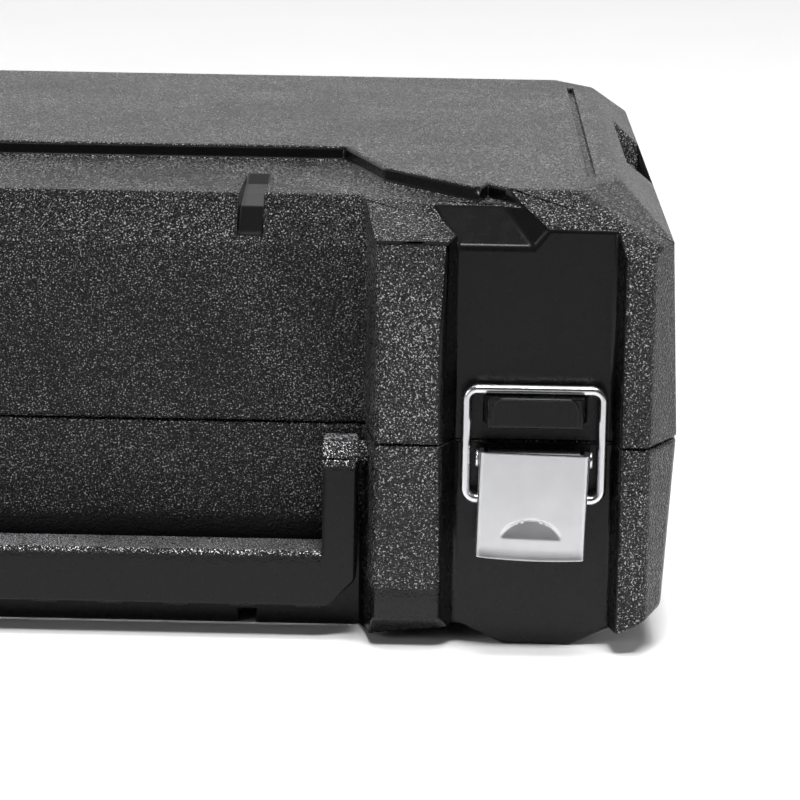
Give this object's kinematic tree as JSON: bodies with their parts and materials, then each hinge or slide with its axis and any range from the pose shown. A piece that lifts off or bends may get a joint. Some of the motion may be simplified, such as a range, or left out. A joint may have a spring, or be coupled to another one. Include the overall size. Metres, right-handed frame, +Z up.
{
  "type": "socket wrench set in case",
  "caption": "Flat hard case with hinged lid, fold-down handle and two wire draw latches, holding a reversible ratchet, extensions, a sliding bar and standing sockets.",
  "frame": {"origin": "on the table under the middle of the closed case", "axes": "+X across the case to the right seen from the handle side, +Y towards the hinges, +Z up"},
  "size_m": [0.34, 0.287, 0.1162],
  "materials": {
    "case_plastic": "pebbled black moulding, smooth in the latch bays",
    "tray_plastic": "fine satin",
    "handle_plastic": "satin, pebbled top of the grip",
    "latch_steel": "bright zinc plated sheet",
    "wire_steel": "bright zinc plated wire",
    "tool_chrome": "satin chrome",
    "hard_steel": "ground steel",
    "grip_rubber": "soft moulded grip",
    "lever_plastic": "smooth"
  },
  "bodies": {
    "case": {"base_shell": "case_plastic", "tray_front": "tray_plastic", "tray_bars": "tray_plastic", "tray_deep": "tray_plastic", "tray_sockets": "tray_plastic", "tray_side": "tray_plastic", "tray_dividers": "tray_plastic", "latch_left_pin": "wire_steel", "latch_right_pin": "wire_steel", "hinge_pins": "wire_steel", "ratchet_handle": "tool_chrome", "ratchet_cover": "tool_chrome", "extension_long": "tool_chrome", "extension_short": "tool_chrome", "t_bar": "tool_chrome", "plug_socket": "tool_chrome", "drive_adapter": "tool_chrome", "socket_10": "tool_chrome", "socket_12": "tool_chrome", "socket_13": "tool_chrome", "socket_14": "tool_chrome", "socket_15": "tool_chrome", "socket_17": "tool_chrome", "socket_19": "tool_chrome", "socket_21": "tool_chrome", "socket_22": "tool_chrome", "socket_24": "tool_chrome", "socket_27": "tool_chrome", "socket_30": "tool_chrome", "deep_socket_17": "tool_chrome", "deep_socket_19": "tool_chrome", "deep_socket_22": "tool_chrome", "ratchet_cover_screws": "hard_steel", "extension_balls": "hard_steel", "ratchet_grip": "grip_rubber", "plug_socket_insert": "grip_rubber"},
    "lid": {"lid_shell": "case_plastic", "lid_liner": "tray_plastic"},
    "handle": {"carry_handle": "handle_plastic"},
    "latch_left_lever": {"latch_left_lever": "latch_steel"},
    "latch_left_bail": {"latch_left_bail": "wire_steel"},
    "latch_right_lever": {"latch_right_lever": "latch_steel"},
    "latch_right_bail": {"latch_right_bail": "wire_steel"},
    "ratchet_drive": {"ratchet_gear": "hard_steel", "ratchet_ball": "hard_steel"},
    "ratchet_selector": {"ratchet_pawl": "hard_steel", "ratchet_lever": "lever_plastic"},
    "ratchet_button": {"ratchet_button": "hard_steel"},
    "t_bar_slider": {"t_bar_slider": "tool_chrome", "t_bar_ball": "hard_steel"}
  },
  "joints": [
    {"name": "lid_hinge", "type": "hinge", "parent": "case", "child": "lid", "pos_m": [0, 0.14, 0.054], "axis": [-1, 0, 0], "range_deg": [0, 110]},
    {"name": "handle_hinge", "type": "hinge", "parent": "case", "child": "handle", "pos_m": [0, -0.123, 0.048], "axis": [-1, 0, 0], "range_deg": [0, 100]},
    {"name": "latch_left_lever_hinge", "type": "hinge", "parent": "case", "child": "latch_left_lever", "pos_m": [-0.1335, -0.1378, 0.0505], "axis": [-1, 0, 0], "range_deg": [0, 110]},
    {"name": "latch_left_bail_hinge", "type": "hinge", "parent": "latch_left_lever", "child": "latch_left_bail", "pos_m": [-0.1335, -0.1364, 0.0397], "axis": [-1, 0, 0], "range_deg": [-112, 2]},
    {"name": "latch_right_lever_hinge", "type": "hinge", "parent": "case", "child": "latch_right_lever", "pos_m": [0.1335, -0.1378, 0.0505], "axis": [-1, 0, 0], "range_deg": [0, 110]},
    {"name": "latch_right_bail_hinge", "type": "hinge", "parent": "latch_right_lever", "child": "latch_right_bail", "pos_m": [0.1335, -0.1364, 0.0397], "axis": [-1, 0, 0], "range_deg": [-112, 2]},
    {"name": "ratchet_drive_turn", "type": "hinge", "parent": "case", "child": "ratchet_drive", "pos_m": [-0.116, -0.079, 0.057], "axis": [0, 0, 1], "continuous": true},
    {"name": "ratchet_selector_turn", "type": "hinge", "parent": "case", "child": "ratchet_selector", "pos_m": [-0.096, -0.079, 0.057], "axis": [0, 0, 1], "range_deg": [-20, 20]},
    {"name": "ratchet_button_press", "type": "slide", "parent": "ratchet_drive", "child": "ratchet_button", "axis": [0, 0, -1], "range_m": [0, 0.002], "stiffness_N_per_m": 800, "springref_m": -0.0005},
    {"name": "t_bar_slide", "type": "slide", "parent": "case", "child": "t_bar_slider", "axis": [1, 0, 0], "range_m": [-0.105, 0.105]}
  ],
  "couplings": [
    {"joint": "latch_left_bail_hinge", "follows": "latch_left_lever_hinge", "ratio": -1},
    {"joint": "latch_right_bail_hinge", "follows": "latch_right_lever_hinge", "ratio": -1}
  ]
}
